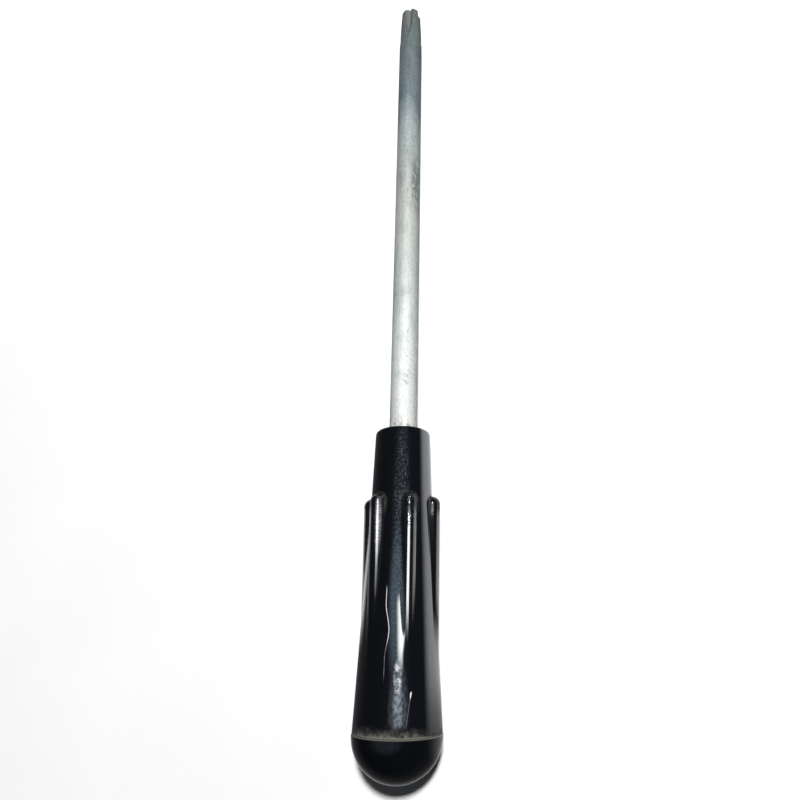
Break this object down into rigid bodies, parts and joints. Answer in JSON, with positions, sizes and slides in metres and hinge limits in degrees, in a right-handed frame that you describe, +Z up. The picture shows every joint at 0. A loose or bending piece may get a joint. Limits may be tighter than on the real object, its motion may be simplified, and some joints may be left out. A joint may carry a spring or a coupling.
{
  "type": "cross-head screwdriver",
  "caption": "Cross-head screwdriver with a round plated steel blade, a fluted tip, a ribbed black moulded handle and a domed butt cap, for turning cross-recess screws by hand.",
  "frame": {"origin": "on the tool axis at the front face of the handle, where the blade comes out", "axes": "+Y along the tool axis toward the tip, +Z up with the tool lying level, +X to the right seen from the butt"},
  "size_m": [0.0229, 0.2514, 0.0228],
  "materials": {
    "blade_steel": "satin zinc plate on steel, dull and tarnished toward the tip",
    "handle_plastic": "glossy black moulding with fine scratches and dust",
    "cap_plastic": "glossy black moulding, dust caught along the seam"
  },
  "bodies": {
    "root": {"blade": "blade_steel", "handle_body": "handle_plastic", "end_cap": "cap_plastic"}
  },
  "joints": []
}
